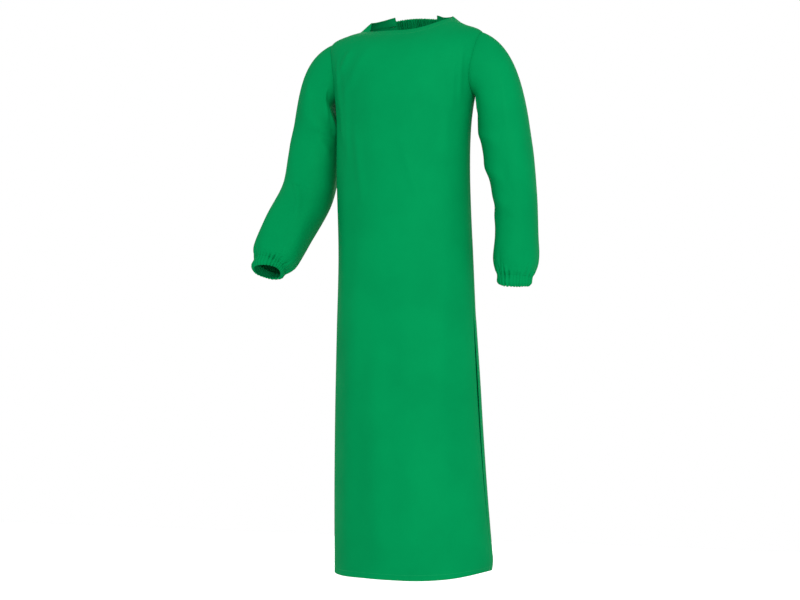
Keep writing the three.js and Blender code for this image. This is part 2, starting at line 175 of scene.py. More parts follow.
# %% Material for the coated side and the uncoated side
KNIT_PITCH = 0.0011  # one stitch of the knit


def coated_cloth(name, main, shade, roughness=0.55):
    """Two greens mixed by slow noise, with a knit of two crossed sine waves and a fine grain in
    the bump."""
    s = Shader(name)
    place = s.node("TexCoord", output="Object")
    uv = s.node("UVMap", {"uv_map": "cloth"})
    cloud = s.node("TexNoise", {},
                   {"Vector": place, "Scale": 7.0, "Detail": 3.0, "Roughness": 0.55})
    grain = s.node("TexNoise", {}, {"Vector": place, "Scale": 900.0, "Detail": 2.0})
    across = s.node("SeparateXYZ", {}, {0: uv})
    down = across.sibling(1)
    turns = 2 * math.pi / KNIT_PITCH
    knit = (across * turns).sine() * 0.5 + (down * turns).sine() * 0.5
    patch = s.node("MapRange", {}, {0: cloud, 1: 0.36, 2: 0.66, 3: 0.0, 4: 1.0})
    colour = s.node("Mix", {"data_type": "RGBA"}, {0: patch, 6: main, 7: shade}, output=2)
    height = knit * 0.35 + grain * 0.65
    bump = s.node("Bump", {}, {"Strength": 0.10, "Distance": 0.0002, "Height": height})
    bsdf = s.node("BsdfPrincipled", {}, {
        "Base Color": colour, "Roughness": roughness + patch * 0.08 + grain * 0.05, "Normal": bump,
        "Specular IOR Level": 0.01,
    })
    return s.finish(bsdf)


green_cloth = coated_cloth("coated_green_cloth", linear(0, 126, 70), linear(0, 121, 67))
print("cloth material made, knit pitch", KNIT_PITCH * 1000, "mm")

# %% [markdown]
# ## The body of the gown as one surface
# Rings run from the neckline over the shoulders to the chest and down to the hem. Between two rings
# every measure follows a smooth curve, so the whole body is a function of an angle round the wearer
# and a number t that counts rings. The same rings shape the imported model.

# %% Smooth curve through values, and the rings
def catmull(values, t, straight_ends=False):
    """Catmull-Rom curve: the cubic through two neighbouring values whose slope at each is half the
    difference of the values on either side. Ends are repeated, or run on straight."""
    values = np.asarray(values, float)
    if straight_ends:
        before, after = 2 * values[0] - values[1], 2 * values[-1] - values[-2]
    else:
        before, after = values[0], values[-1]
    padded = np.concatenate([[before], values, [after]])
    i = np.clip(np.floor(t).astype(int), 0, len(values) - 2)
    f = np.asarray(t - i)
    if values.ndim > 1:
        f = f[..., None]
    p0, p1, p2, p3 = (padded[i + k] for k in range(4))
    return 0.5 * (2 * p1 + (p2 - p0) * f + (2 * p0 - 5 * p1 + 4 * p2 - p3) * f ** 2
                  + (3 * p1 - p0 - 3 * p2 + p3) * f ** 3)


MM = 0.001
# side z, front z, back z, half width, centre x, front y, back y, and rise across the shoulders
CHEST_DROP, HEM_DROP = 360, 1268
SKIRT_DROPS = np.linspace(CHEST_DROP, HEM_DROP, 6)
RINGS = np.array((
    (-10, -31, 4, 98, 4, -62, 58, 9),
    (-25, -60, -25, 136, 0, -94, 72, 7.5),
    (-45, -97, -66, 178, 0, -114, 80, 7.5),
    (-88, -140, -120, 184, 0, -125, 83, 4),
    (-150, -190, -175, 170, -2, -134, 86, 2),
    (-235, -245, -240, 158, -6, -138, 89, 0),
    *((-drop, -drop, -drop, *sizes, 0) for drop, sizes in zip(SKIRT_DROPS, (
        (156, -9, -137, 96), (157, -5, -135, 105), (163, -5, -135, 115),
        (170, -3, -137, 125), (178, 2, -139, 136), (187, 10, -140, 146)))),
)) * MM
HEM_T = len(RINGS) - 1


def torso(angle, t):
    """Ellipse at height t: x = centre + half width * cos, y = middle - half depth * sin. The height
    goes from its side value to the front or back value with the square of the sine, and rises
    towards the wearer's left with the signed square of the cosine."""
    side, front, back, half, centre, front_y, back_y, rise = np.moveaxis(catmull(RINGS, t), -1, 0)
    c, s = np.cos(angle), np.sin(angle)
    x = centre + half * c
    y = (front_y + back_y) / 2 - (back_y - front_y) / 2 * s
    z = side + (np.where(s > 0, front, back) - side) * s ** 2
    z = z + rise * c * np.abs(c)
    return np.stack(np.broadcast_arrays(x, y, z), -1)


def back_angle(x, t):
    """Angle on the back where the ring passes x: minus the arc cosine of x over the half width."""
    ring = catmull(RINGS, t)
    return -np.arccos(np.clip((x - ring[..., 4]) / ring[..., 3], -0.98, 0.98))


ARMHOLE_T, ARMHOLE_HALF = 3.2, 1.2
ARMHOLE_FRONT, ARMHOLE_BACK = 0.43, 0.62


def armhole_angle(t, reach):
    """Half-angle that the oval armhole takes out of ring t: reach times the circle's half chord."""
    d = (t - ARMHOLE_T) / ARMHOLE_HALF
    return reach * np.sqrt(np.clip(1 - d ** 2, 0, None))


def smooth(x, low, high):
    """0 below low, 1 above high, and the cubic 3k^2 - 2k^3 between."""
    k = np.clip((x - low) / (high - low), 0, 1)
    return k * k * (3 - 2 * k)


# %% [markdown]
# ## From a surface to a wall of cloth
# A sheet with no thickness has no edge to catch the light. Each piece is therefore a closed wall:
# the surface moved out and in by half the cloth's thickness along its normal, joined by rims. The
# rims' edges are marked sharp, so that the smooth shading stops there.

# %% Wall of cloth from a grid of points
CLOTH = 0.0008


def normals_of(points, closed):
    """Unit cross product of the grid's two directions, columns first."""
    if closed:
        du = np.roll(points, -1, 1) - np.roll(points, 1, 1)
    else:
        du = np.gradient(points, axis=1)
    dv = np.gradient(points, axis=0)
    n = np.cross(du, dv)
    return n / np.maximum(np.linalg.norm(n, axis=-1, keepdims=True), 1e-12)


def lengths(points, closed):
    """Running length along the middle row and the middle column, for the UV map in metres."""
    row, column = points[len(points) // 2], points[:, points.shape[1] // 2]
    if closed:
        row = np.concatenate([row, row[:1]])
    step = [np.linalg.norm(np.diff(line, axis=0), axis=1) for line in (row, column)]
    return [np.concatenate([[0], np.cumsum(s)]) for s in step]


def mesh_object(name, points, quads, material, uv=None, sharp=None):
    """Mesh object from points and quads as whole arrays, with a UV value for each corner."""
    mesh = bpy.data.meshes.new(name)
    mesh.vertices.add(len(points))
    mesh.vertices.foreach_set("co", np.ascontiguousarray(points, np.float32).ravel())
    mesh.loops.add(quads.size)
    mesh.loops.foreach_set("vertex_index", quads.astype(np.int32).ravel())
    mesh.polygons.add(len(quads))
    mesh.polygons.foreach_set("loop_start", np.arange(0, quads.size, 4, dtype=np.int32))
    mesh.update(calc_edges=True)
    mesh.polygons.foreach_set("use_smooth", np.ones(len(quads), bool))
    if uv is not None:
        layer = mesh.uv_layers.new(name="cloth")
        layer.data.foreach_set("uv", uv.astype(np.float32).ravel())
    if sharp is not None:
        ends = np.empty(len(mesh.edges) * 2, np.int32)
        mesh.edges.foreach_get("vertices", ends)
        marks = sharp[ends.reshape(-1, 2)].all(1)
        mesh.attributes.new("sharp_edge", "BOOLEAN", "EDGE").data.foreach_set("value", marks)
    mesh.materials.append(material)
    obj = bpy.data.objects.new(name, mesh)
    bpy.context.scene.collection.objects.link(obj)
    return obj


def wall(name, points, thickness=CLOTH, closed=False, material=None):
    """Closed wall round a grid of points (rows, columns, 3), half its thickness to each side. The
    first direction is the columns', and du x dv points out. closed joins the last column to the
    first."""
    rows, columns = points.shape[:2]
    n = normals_of(points, closed)
    both = np.concatenate([(points + n * thickness / 2).reshape(-1, 3),
                           (points - n * thickness / 2).reshape(-1, 3)])
    inner = rows * columns
    across, down = lengths(points, closed)
    r, c = np.meshgrid(np.arange(rows - 1), np.arange(columns - (not closed)), indexing="ij")
    r, c = r.ravel(), c.ravel()
    corners = [(r, c), (r, c + 1), (r + 1, c + 1), (r + 1, c)]
    ids = np.stack([a * columns + b % columns for a, b in corners], 1)
    uvs = np.stack([np.stack([across[b], down[a]], -1) for a, b in corners], 1)
    quads, uv = [ids, ids[:, ::-1] + inner], [uvs, uvs[:, ::-1]]
    k = np.arange(columns - (not closed))
    for edge, order in ((0, (0, 1, 2, 3)), (rows - 1, (0, 3, 2, 1))):
        a, b = edge * columns + k, edge * columns + (k + 1) % columns
        quads.append(np.stack([a, a + inner, b + inner, b], 1)[:, order])
        uv.append(np.stack([np.stack([across[k + j], np.full(k.shape, down[edge])], -1)
                            for j in (0, 0, 1, 1)], 1)[:, order])
    if not closed:
        k = np.arange(rows - 1)
        for edge, order in ((0, (0, 3, 2, 1)), (columns - 1, (0, 1, 2, 3))):
            a, b = k * columns + edge, (k + 1) * columns + edge
            quads.append(np.stack([a, a + inner, b + inner, b], 1)[:, order])
            uv.append(np.stack([np.stack([np.full(k.shape, across[edge]), down[k + j]], -1)
                                for j in (0, 0, 1, 1)], 1)[:, order])
    rim = np.zeros((rows, columns), bool)
    rim[[0, -1]] = True
    if not closed:
        rim[:, [0, -1]] = True
    sharp = np.tile(rim.ravel(), 2)
    obj = mesh_object(name, both, np.concatenate(quads), material or green_cloth,
                      np.concatenate(uv), sharp)
    print(f"{name}: {rows} x {columns} points")
    return obj


def hung(obj, body, nodes, blend=None):
    if blend:
        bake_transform(obj)
    else:
        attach(obj, body)
    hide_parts(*nodes)
    return obj

# %% [markdown]
# ## Rows down the gown
# The panels share one set of rows from the hem to the neckline. They crowd together at the top and
# the foot of the armhole, where the oval's edge turns quickly.

# %% Rows and the edges of the panels
arm_rows = ARMHOLE_T - ARMHOLE_HALF * np.cos(np.linspace(0, math.pi, 52))
HEM_ROWS = 18
BAND_T = 0.022 * 5 / (HEM_DROP - CHEST_DROP) / MM  # ring steps that the turned hem takes up
ROW_T = np.concatenate([
    np.linspace(0, 0.6, 24)[:-1], np.linspace(0.6, arm_rows[0], 24)[:-1], arm_rows,
    np.linspace(arm_rows[-1], HEM_T - BAND_T, 140)[1:-1],
    np.linspace(HEM_T - BAND_T, HEM_T, HEM_ROWS),
])[::-1][:, None]
NECK_ROWS = 20
print("rows:", len(ROW_T))


def crease(p, q, start, end, width, height):
    """Soft ridge along a segment in a flat chart: height times a bell of the distance from the
    segment, fading over its last third."""
    (ax, ay), (bx, by) = start, end
    dx, dy = bx - ax, by - ay
    k = ((p - ax) * dx + (q - ay) * dy) / (dx * dx + dy * dy)
    near = np.clip(k, 0, 1)
    away = np.hypot(p - ax - near * dx, q - ay - near * dy)
    fade = smooth(k, -0.15, 0.3) * (1 - smooth(k, 0.7, 1.15))
    return height * np.exp(-(away / width) ** 2) * fade


def moved_out(points, out, closed=False):
    """Points moved along their normals."""
    return points + normals_of(points, closed) * out[..., None]

# %% [markdown]
# ## Front panel
# One piece of cloth from side seam to side seam, with the armholes and the high neckline cut out.
# It hangs almost straight. Only soft folds run down from the chest, a few short creases gather at
# the armpits, and the hem waves a little. Its sewn edges dip by a fraction of a millimetre.

# %% Front panel with its soft folds
SEAM_DIP, SEAM_WIDTH = 0.0007, 0.003  # depth and width of the dip along a sewn edge
FRONT_WIDTH, BACK_WIDTH = 0.480, 0.260  # about how wide the panels are, from seam to seam or edge
FRONT_FOLDS = (  # start x, z and end x, z, half width and height, in millimetres
    (-95, -560, -118, -1290, 26, 5), (-40, -700, -30, -1290, 30, 5), (28, -640, 66, -1290, 32, 6),
    (90, -560, 128, -1290, 24, 5), (-125, -330, -132, -760, 16, 3), (118, -330, 112, -800, 18, 3),
    (-60, -120, -20, -420, 26, 2), (62, -150, 40, -520, 24, 2),
    (-136, -150, -126, -290, 7, 3.5), (-122, -130, -112, -330, 9, 2.5),
    (-146, -95, -140, -215, 6, 3),
    (-110, -75, -138, -130, 8, 3), (-70, -75, -120, -180, 12, 2.5), (-92, -250, -70, -420, 10, 2.5),
    (150, -70, 140, -205, 5, 3.2), (136, -90, 128, -220, 6, 2.6), (122, -130, 112, -330, 9, 2),
    (20, -285, 70, -440, 9, 2.5), (60, -60, 118, -100, 10, 2),
)


def front_points(columns=112):
    """Torso between the two side edges, moved out by the folds. The neckline sags a little on the
    wearer's right, and the hem is lifted in waves."""
    right = math.pi - armhole_angle(ROW_T, ARMHOLE_FRONT)
    left = armhole_angle(ROW_T, ARMHOLE_FRONT)
    u = np.linspace(0, 1, columns)[None, :]
    p = torso(right + (left - right) * u, ROW_T)
    x, z = p[..., 0] / MM, p[..., 2] / MM
    out = sum(crease(x, z, (a, b), (c, d), w, h * MM) for a, b, c, d, w, h in FRONT_FOLDS)
    edge = np.minimum(u, 1 - u) * FRONT_WIDTH
    p = moved_out(p, out - SEAM_DIP * np.exp(-(edge / SEAM_WIDTH) ** 2))
    sag = 0.0058 * np.exp(-((p[..., 0] + 0.088) / 0.045) ** 2) * smooth(u, 0.0, 0.07)
    p[..., 2] -= sag * (1 - smooth(ROW_T, 0, 1.2))
    return hem_wave(p)


def hem_wave(p):
    """Lifts the hem by long waves that die out upwards, and curls it in at the wearer's left."""
    low = smooth(-p[..., 2], 1.12, 1.29)
    turn = np.arctan2(-p[..., 1], p[..., 0])
    lift = 0.004 * np.sin(2 * turn + 0.6) + 0.003 * np.sin(3 * turn + 1.9) - 0.001
    curl = 0.013 * smooth(-p[..., 2], 1.225, 1.29) ** 1.5 * np.exp(-((turn - 0.1) / 0.45) ** 2)
    q = p.copy()
    q[..., 2] += low * lift + curl * 0.6
    q[..., 0] -= curl
    return q


front = front_points()
front_panel = wall("front_panel_cloth", front)
hung(front_panel, "root", ["front_panel"])

# %% [markdown]
# ### Hem and neck facing
# The raw edges are turned in and sewn down. Both layers keep the same shape, so the inner one is
# the panel's own grid cut to its last rows and moved in by the cloth and a little air.

# %% Inner layers at the hem and the neckline
LAYER = CLOTH + 0.0004  # middle of one layer to middle of the next


def inner_layer(name, panel, rows, columns, body, nodes, blend=None, depth=LAYER):
    """Part of a panel's grid, moved in by depth, as a wall of its own."""
    part = moved_out(panel, np.full(panel.shape[:2], -depth) if np.isscalar(depth) else -depth)
    part = part[rows, columns]
    layer = wall(name, part)
    return hung(layer, body, nodes, blend=blend)


HEM = slice(0, HEM_ROWS)
NECK = slice(-NECK_ROWS, None)
inner_layer("hem_turn_front", front, HEM, slice(2, -2), "root", ["hem_band_front"])
inner_layer("neck_facing_front", front, NECK, slice(1, -1), "root", ["neck_facing"])

# %% [markdown]
# ## Back panels
# Each back half is one piece from the side seam to its free edge. The free edges stand apart at the
# neck and pass each other lower down, right over left. A flap swings on the soft strip beside the
# shoulder blade; each panel is made once, in place, and is not bent between the fixed body and the
# flap.

# %% Back panels, made in place beside the strips where their flaps swing
NECK_GAP, FLAP_OVERLAP, FLAP_LAYERS = 0.050, 0.015, 0.0074
FLAP_HINGE = 0.075
V_END_T = 5.0


def flap_edge(t):
    """x of the free edge: the neck gap at the neckline, falling smoothly past the centre line."""
    return NECK_GAP + (-FLAP_OVERLAP - NECK_GAP) * smooth(t, 0, V_END_T)


def under_depth(side, t, x):
    """How far the left flap sinks in, so that it lies under the right one."""
    if side < 0:
        return np.zeros(np.broadcast_shapes(np.shape(t), np.shape(x)))
    return -FLAP_LAYERS * smooth(-x, -0.042, -FLAP_OVERLAP - 0.004) * smooth(t, 2, 4)


def mirrored(angle, side):
    return angle if side > 0 else -math.pi - angle


BACK_FOLDS = (  # distance from the centre x, z down to x, z, half width, height, in millimetres
    (120, -520, 132, -1290, 24, 5), (62, -640, 66, -1290, 20, 4), (140, -180, 110, -340, 12, 3),
    (150, -700, 165, -1290, 18, 4),
)


def back_points(side, columns=84):
    """Torso from the side seam (side 1 the wearer's left) to the free edge, seen from outside with
    columns that go towards -x, with folds and with the neck corner standing up."""
    seam = mirrored(-armhole_angle(ROW_T, ARMHOLE_BACK), side)
    free = back_angle(side * (flap_edge(ROW_T) + 0.0003), ROW_T)
    first, last = (seam, free) if side > 0 else (free, seam)
    u = np.linspace(0, 1, columns)[None, :]
    p = torso(first + (last - first) * u, ROW_T)
    x, z = side * p[..., 0] / MM, p[..., 2] / MM
    out = sum(crease(x, z, (a, b), (c, d), w, h * MM) for a, b, c, d, w, h in BACK_FOLDS)
    seam_side = (u if side > 0 else 1 - u) * BACK_WIDTH
    out = out - SEAM_DIP * np.exp(-(seam_side / SEAM_WIDTH) ** 2)
    p = moved_out(p, out + under_depth(side, ROW_T, p[..., 0]))
    top = 1 - smooth(ROW_T, 0, 0.9)
    corner = np.exp(-((side * p[..., 0] - NECK_GAP) / 0.014) ** 2) * top
    from_seam = smooth(u if side > 0 else 1 - u, 0.0, 0.12)
    edge_rise, corner_rise = ((0.006, 0.006) if side > 0 else (0.016, 0.001))
    p[..., 2] += edge_rise * from_seam * top + corner_rise * corner
    return hem_wave(p)


FACING_COLUMNS = 14
STRAP_STUD_X, STRAP_STUD_T = -0.057, 0.45  # where the strap's stud sits on the right back panel
STUD_STAND, STUD_STAND_REACH = 0.0022, 0.011  # how far the facing stands off over that stud
backs = {}


def swing_of(word, side):
    return ("root", f"flap_{word}", (side * (FLAP_HINGE + 0.018), 0, 0),
            (side * (FLAP_HINGE - 0.014), 0, 0))


def strap_anchor(points):
    """Point of the right panel's grid where the strap's stud sits."""
    row = np.argmin(np.abs(ROW_T[:, 0] - STRAP_STUD_T))
    return points[row, np.argmin(np.abs(points[row, :, 0] - STRAP_STUD_X))]


for side, word in ((1, "left"), (-1, "right")):
    points = backs[word] = back_points(side)
    swing = swing_of(word, side)
    panel = wall(f"back_panel_{word}", points)
    hung(panel, None, [f"back_side_{word}", f"back_fold_{word}", f"back_flap_{word}"],
         blend=swing)
    free = slice(-FACING_COLUMNS, -1) if side > 0 else slice(1, FACING_COLUMNS)
    inner_layer(f"hem_turn_{word}", points, HEM, slice(2, -2), None,
                [f"hem_band_flap_{word}"], swing)
    inner_layer(f"edge_facing_{word}", points, slice(HEM_ROWS + 1, -NECK_ROWS - 1), free,
                f"flap_{word}", [f"flap_facing_{word}"])
    # the right neck facing stands off over the back of the strap's stud
    near = points - strap_anchor(points) if side < 0 else points + 1.0
    stand = STUD_STAND * np.exp(-(np.linalg.norm(near, axis=-1) / STUD_STAND_REACH) ** 2)
    inner_layer(f"neck_facing_{word}", points, NECK, slice(1, -1), None, [], swing, LAYER + stand)

anchor = strap_anchor(backs["right"])
strap_stud = anchor, normals_of(backs["right"], False)[(backs["right"] == anchor).all(-1)][0]

# %% [markdown]
# ## Sleeves
# A sleeve starts on the armhole's oval, curves over the shoulder onto a ring round the upper arm,
# and follows the arm as a soft tube. Each station down the arm has a centre, a half width across
# and a half depth, and smooth curves run through them.

# %% Stations of the two sleeves
STATIONS = {  # centre x, y, z, half width, half depth, in millimetres
    "left": np.array((
        (225, -4, -246, 56, 62), (239, -3, -330, 54, 60), (253, 0, -415, 46, 56),
        (255, -3, -495, 47, 55), (254, -6, -553, 50, 52), (252, -8, -589, 39, 40),
        (251, -9, -608, 38, 38))) * MM,
    "right": np.array((
        (-221, 2, -243, 57, 62), (-236, 8, -318, 59, 61), (-253, 6, -396, 60, 60),
        (-282, -42, -482, 58, 58), (-302, -73, -541, 54, 50), (-309, -87, -563, 39, 38),
        (-313, -98, -578, 38, 33))) * MM,
}
SIDES = {"left": 1, "right": -1}
FULLNESS = 2.3  # 2 is an ellipse, and more is squarer
HEAD_ROUND = {"left": 0.33, "right": 0.37}  # how far the head bulges before it turns down


def unit(v):
    return v / np.linalg.norm(v, axis=-1, keepdims=True)


def tube(word, turn, s):
    """Ring at station s: centre + half width * cos * outer + half depth * sin * front, pushed out
    to a superellipse, because empty cloth lies flatter than an arm. Outer is square to the arm and
    to the wearer's forward direction, and front is square to both."""
    at = catmull(STATIONS[word], s, straight_ends=True)
    h = 1e-3
    centres = STATIONS[word][:, :3]
    along = unit(catmull(centres, s + h, True) - catmull(centres, s - h, True))
    outer = unit(np.cross(along, (0.0, -1.0, 0.0)))
    outer = outer * np.sign(outer[..., :1] * SIDES[word])
    front = unit(np.cross(outer, along))
    front = front * -np.sign(front[..., 1:2])
    angle = 2 * math.pi * turn[..., None]
    c, s = np.cos(angle), np.sin(angle)
    round_ = (np.abs(c) ** FULLNESS + np.abs(s) ** FULLNESS) ** (-1 / FULLNESS)
    return at[..., :3] + round_ * (at[..., 3:4] * c * outer + at[..., 4:5] * s * front)


def armhole(word, turn):
    """Point of the armhole's oval for the same turn: top, front, bottom, back."""
    angle = 2 * math.pi * turn
    reach = np.where(np.sin(angle) > 0, ARMHOLE_FRONT, ARMHOLE_BACK)
    half = np.sin(angle) * reach
    t = ARMHOLE_T - ARMHOLE_HALF * np.cos(angle)
    return torso(half if word == "left" else math.pi - half, t)


def head(word, turn, k):
    """Cubic Bezier from the armhole to the first ring. It leaves the armhole outwards and meets the
    ring along the arm, with arms in proportion to the distance between them."""
    side = SIDES[word]
    start, end = armhole(word, turn), tube(word, turn, np.zeros_like(turn))
    chord = np.linalg.norm(end - start, axis=-1, keepdims=True)
    top = np.cos(2 * math.pi * turn)
    away = unit(np.stack([np.full_like(top, side * 0.93), np.zeros_like(top),
                          -0.5 + 0.14 * top], -1))
    down = unit(catmull(STATIONS[word][:, :3], np.array(1e-3), True) - STATIONS[word][0, :3])
    b1, b2 = start + away * HEAD_ROUND[word] * chord, end - down * 0.41 * chord
    k = k[..., None]
    return ((1 - k) ** 3 * start + 3 * (1 - k) ** 2 * k * b1 + 3 * (1 - k) * k ** 2 * b2
            + k ** 3 * end)

# %% Creases and gathers of a sleeve
AROUND = 256
CUFF_S = 5.0  # station where the cuff begins
CUFF_PULL = 0.0015  # how far the elastic pulls the cuff in
SPLIT_S = 1.0  # station where the upper part of the sleeve ends and the lower part begins


def pleats(turn, count, phase):
    """Uneven pleats round a ring: round crests at 1 and narrow valleys at -1. The phase wanders
    with the angle, and slow waves make some pleats deeper than others."""
    a = 2 * math.pi * turn
    wander = count / 2 * a + 0.9 * np.sin(2 * a + phase) + 0.6 * np.sin(5 * a + 2 * phase) + phase
    depth = 0.8 + 0.35 * np.sin(3 * a + 4 * phase) + 0.25 * np.sin(7 * a + phase)
    return (2 * np.abs(np.cos(wander)) ** 0.7 - 1) * depth


def gather(turn, s):
    """Folds above the cuff: broad ones where the sleeve balloons, fine ones where the elastic
    pulls it in, and both grow towards the cuff."""
    a = 2 * math.pi * turn
    uneven = 0.12 * np.sin(4 * a + 1) + 0.1 * np.sin(9 * a)
    broad = 0.0012 * smooth(s, 3.4 + uneven, 4.4) * (1 - smooth(s, 4.7, 5.0)) * pleats(turn, 8, 0.7)
    middle = 0.0021 * smooth(s, 4.05 + 2 * uneven, 4.85) * pleats(turn, 16, 1.9)
    fine = 0.0014 * smooth(s, 4.5 + uneven, 5.0) * pleats(turn, 32, 0.4)
    return broad + middle + fine - CUFF_PULL * smooth(s, 4.6, CUFF_S)


SLEEVE_CREASES = {  # turn and station at each end, half width in turns, height in millimetres
    "left": ((0.50, 1.7, 0.30, 2.2, 0.035, 4), (0.56, 2.15, 0.38, 2.6, 0.03, 3),
             (0.10, 0.3, 0.22, 1.6, 0.05, 2.5), (0.85, 2.4, 0.9, 4.0, 0.05, 2.5),
             (0.2, 2.6, 0.28, 4.2, 0.05, 2.5), (0.42, -0.75, 0.40, -0.3, 0.014, 3.5),
             (0.46, 0.10, 0.26, 0.45, 0.022, 4), (0.47, 0.95, 0.28, 1.4, 0.024, 4),
             (0.34, 2.1, 0.14, 2.6, 0.024, 3), (0.16, -0.5, 0.20, 0.2, 0.02, 2)),
    "right": ((0.50, 1.6, 0.26, 2.0, 0.035, 5), (0.55, 2.1, 0.30, 2.5, 0.035, 4),
              (0.08, 0.2, 0.16, 1.5, 0.05, 2.5), (0.12, 2.4, 0.16, 4.2, 0.05, 3),
              (0.36, 2.6, 0.40, 4.2, 0.05, 3), (0.33, -0.8, 0.37, -0.25, 0.014, 4),
              (0.37, -0.6, 0.43, 0.1, 0.014, 4), (0.14, -0.25, 0.38, 0.02, 0.016, 4.5),
              (0.16, -0.45, 0.27, -0.25, 0.014, 3), (0.20, 1.9, 0.32, 2.85, 0.018, 4),
              (0.30, 0.2, 0.40, 0.7, 0.02, 3.5)),
}


STATION_TURNS = 0.12  # a step between stations is about as long as this share of a turn


def sleeve_out(word, turn, s):
    """Gathers and creases together. A crease is laid three times, a turn apart, so that it may
    cross the line where the turn starts again."""
    out = gather(turn, s)
    k = STATION_TURNS
    for t0, s0, t1, s1, width, height in SLEEVE_CREASES[word]:
        for shift in (-1, 0, 1):
            out = out + crease(turn + shift, s * k, (t0, s0 * k), (t1, s1 * k),
                               width, height * MM)
    return out


def facing_out(word, points):
    """Columns in the order whose du x dv points out of the sleeve."""
    return points if word == "left" else points[:, ::-1]


def sleeve_top_points(word):
    """Head and upper tube as one grid, from the armhole down to the split."""
    turn = np.arange(AROUND) / AROUND
    k = np.linspace(0, 1, 60)
    tt, kk = np.meshgrid(turn, k)
    over = head(word, tt, kk)
    ss = np.linspace(0, SPLIT_S, 28)[1:]
    tt2, s2 = np.meshgrid(turn, ss)
    p = np.concatenate([over, tube(word, tt2, s2)])
    s_all = np.concatenate([kk - 1, s2])
    t_all = np.concatenate([tt, tt2])
    first = np.linalg.norm(p - p[:1], axis=-1)
    out = sleeve_out(word, t_all, s_all) - 0.0006 * np.exp(-(first / SEAM_WIDTH) ** 2)
    return moved_out(facing_out(word, p), facing_out(word, out), True)


def sleeve_low_points(word):
    """Tube from the split to the cuff, with elbow creases and gathers."""
    turn = np.arange(AROUND) / AROUND
    s = np.linspace(SPLIT_S, CUFF_S, 110)
    tt, ss = np.meshgrid(turn, s)
    p = facing_out(word, tube(word, tt, ss))
    return moved_out(p, facing_out(word, sleeve_out(word, tt, ss)), True)


def arm_place(word, s):
    """Centre of the sleeve at station s."""
    return catmull(STATIONS[word][:, :3], np.array(float(s)), True)


ELBOW_S, ELBOW_REACH = 2.0, 0.55
SHOULDER_BEND = 0.122  # length of the shoulder blend passed to hung, which does not bend the sleeve
for word, side in SIDES.items():
    points = sleeve_top_points(word)
    upper = wall(f"sleeve_top_{word}", points, closed=True)
    slope = np.array((0.643 * side, 0.0, -0.766))
    begin = np.array((0.195 * side, 0.0, -0.154))
    hung(upper, None, [f"sleeve_head_{word}", f"sleeve_upper_{word}"],
         blend=("root", f"sleeve_{word}", tuple(begin), tuple(begin + slope * SHOULDER_BEND)))
    points = sleeve_low_points(word)
    lower = wall(f"sleeve_low_{word}", points, closed=True)
    hung(lower, None, [f"sleeve_elbow_{word}", f"sleeve_lower_{word}"],
         blend=(f"sleeve_{word}", f"forearm_{word}",
                                 tuple(arm_place(word, ELBOW_S - ELBOW_REACH)),
                                 tuple(arm_place(word, ELBOW_S + ELBOW_REACH))))

# %% [markdown]
# ## Cuffs
# The end of the sleeve is turned in on itself and sewn down as a tunnel, and a short elastic ring
# runs in the tunnel. The relaxed elastic gathers both layers into fine pleats.

# %% Cuff tunnels and their elastic rings
TUNNEL = 0.0040  # outer layer to inner layer


def tunnel_path(q):
    """Section of the tunnel: down the outer layer, round the fold at the edge, up the inner layer.
    Returns how far along the cuff (0 to 1) and how far in each point lies."""
    bend = 0.08
    down = np.clip(q / (0.5 - bend), 0, 1) * 0.92
    up = np.clip((1 - q) / (0.5 - bend), 0, 1) * 0.92
    k = np.clip((q - 0.5 + bend) / (2 * bend), 0, 1) * math.pi
    straight = np.where(q < 0.5, down, up)
    along = straight + 0.08 * np.sin(k) * ((q > 0.5 - bend) & (q < 0.5 + bend))
    inward = TUNNEL * (1 - np.cos(k)) / 2
    return along, inward


# how far past its middle the rim reaches at the outer side and at the front, in stations
RIM_SHIFT = {"left": (0.05, 0.30), "right": (0.34, 0.0)}


def cuff_surface(word, turn, along, inward):
    """Point of the cuff, so far along it and so far in. The rim is cut askew and a little ragged,
    the cuff bulges between its rolled ends, and every layer gathers in the same pleats."""
    outer, ahead = RIM_SHIFT[word]
    angle = 2 * math.pi * turn
    askew = (outer * np.cos(angle) + ahead * np.sin(angle)) * along ** 1.5
    ragged = 0.07 * pleats(turn, 32, 0.4) * smooth(along, 0.5, 1.0)
    bulge = 0.0014 * np.sin(np.clip(along, 0, 1) * math.pi) - 0.0022 * smooth(along, 0.72, 1.0)
    fine = (0.0016 * pleats(turn, 32, 0.4)
            + 0.0014 * pleats(turn, 16, 1.9) * (1 - smooth(along, 0, 0.5)))
    s = CUFF_S + along + askew + ragged
    p = tube(word, turn, s)
    centre = catmull(STATIONS[word][:, :3], s, True)
    out = fine + bulge - CUFF_PULL - inward
    return facing_out(word, p + unit(p - centre) * out[..., None])


def cuff_points(word, rows=64):
    """Tunnel section carried round the wrist."""
    turn, q = np.meshgrid(np.arange(AROUND) / AROUND, np.linspace(0, 1, rows))
    return cuff_surface(word, turn, *tunnel_path(q))


def ring_points(word, low, high, rows=12):
    """Band halfway in, between the tunnel's two layers."""
    turn, along = np.meshgrid(np.arange(AROUND) / AROUND, np.linspace(low, high, rows))
    return cuff_surface(word, turn, along, np.full_like(along, TUNNEL / 2))


ELASTIC_RIB = 0.0016  # one rib of the elastic


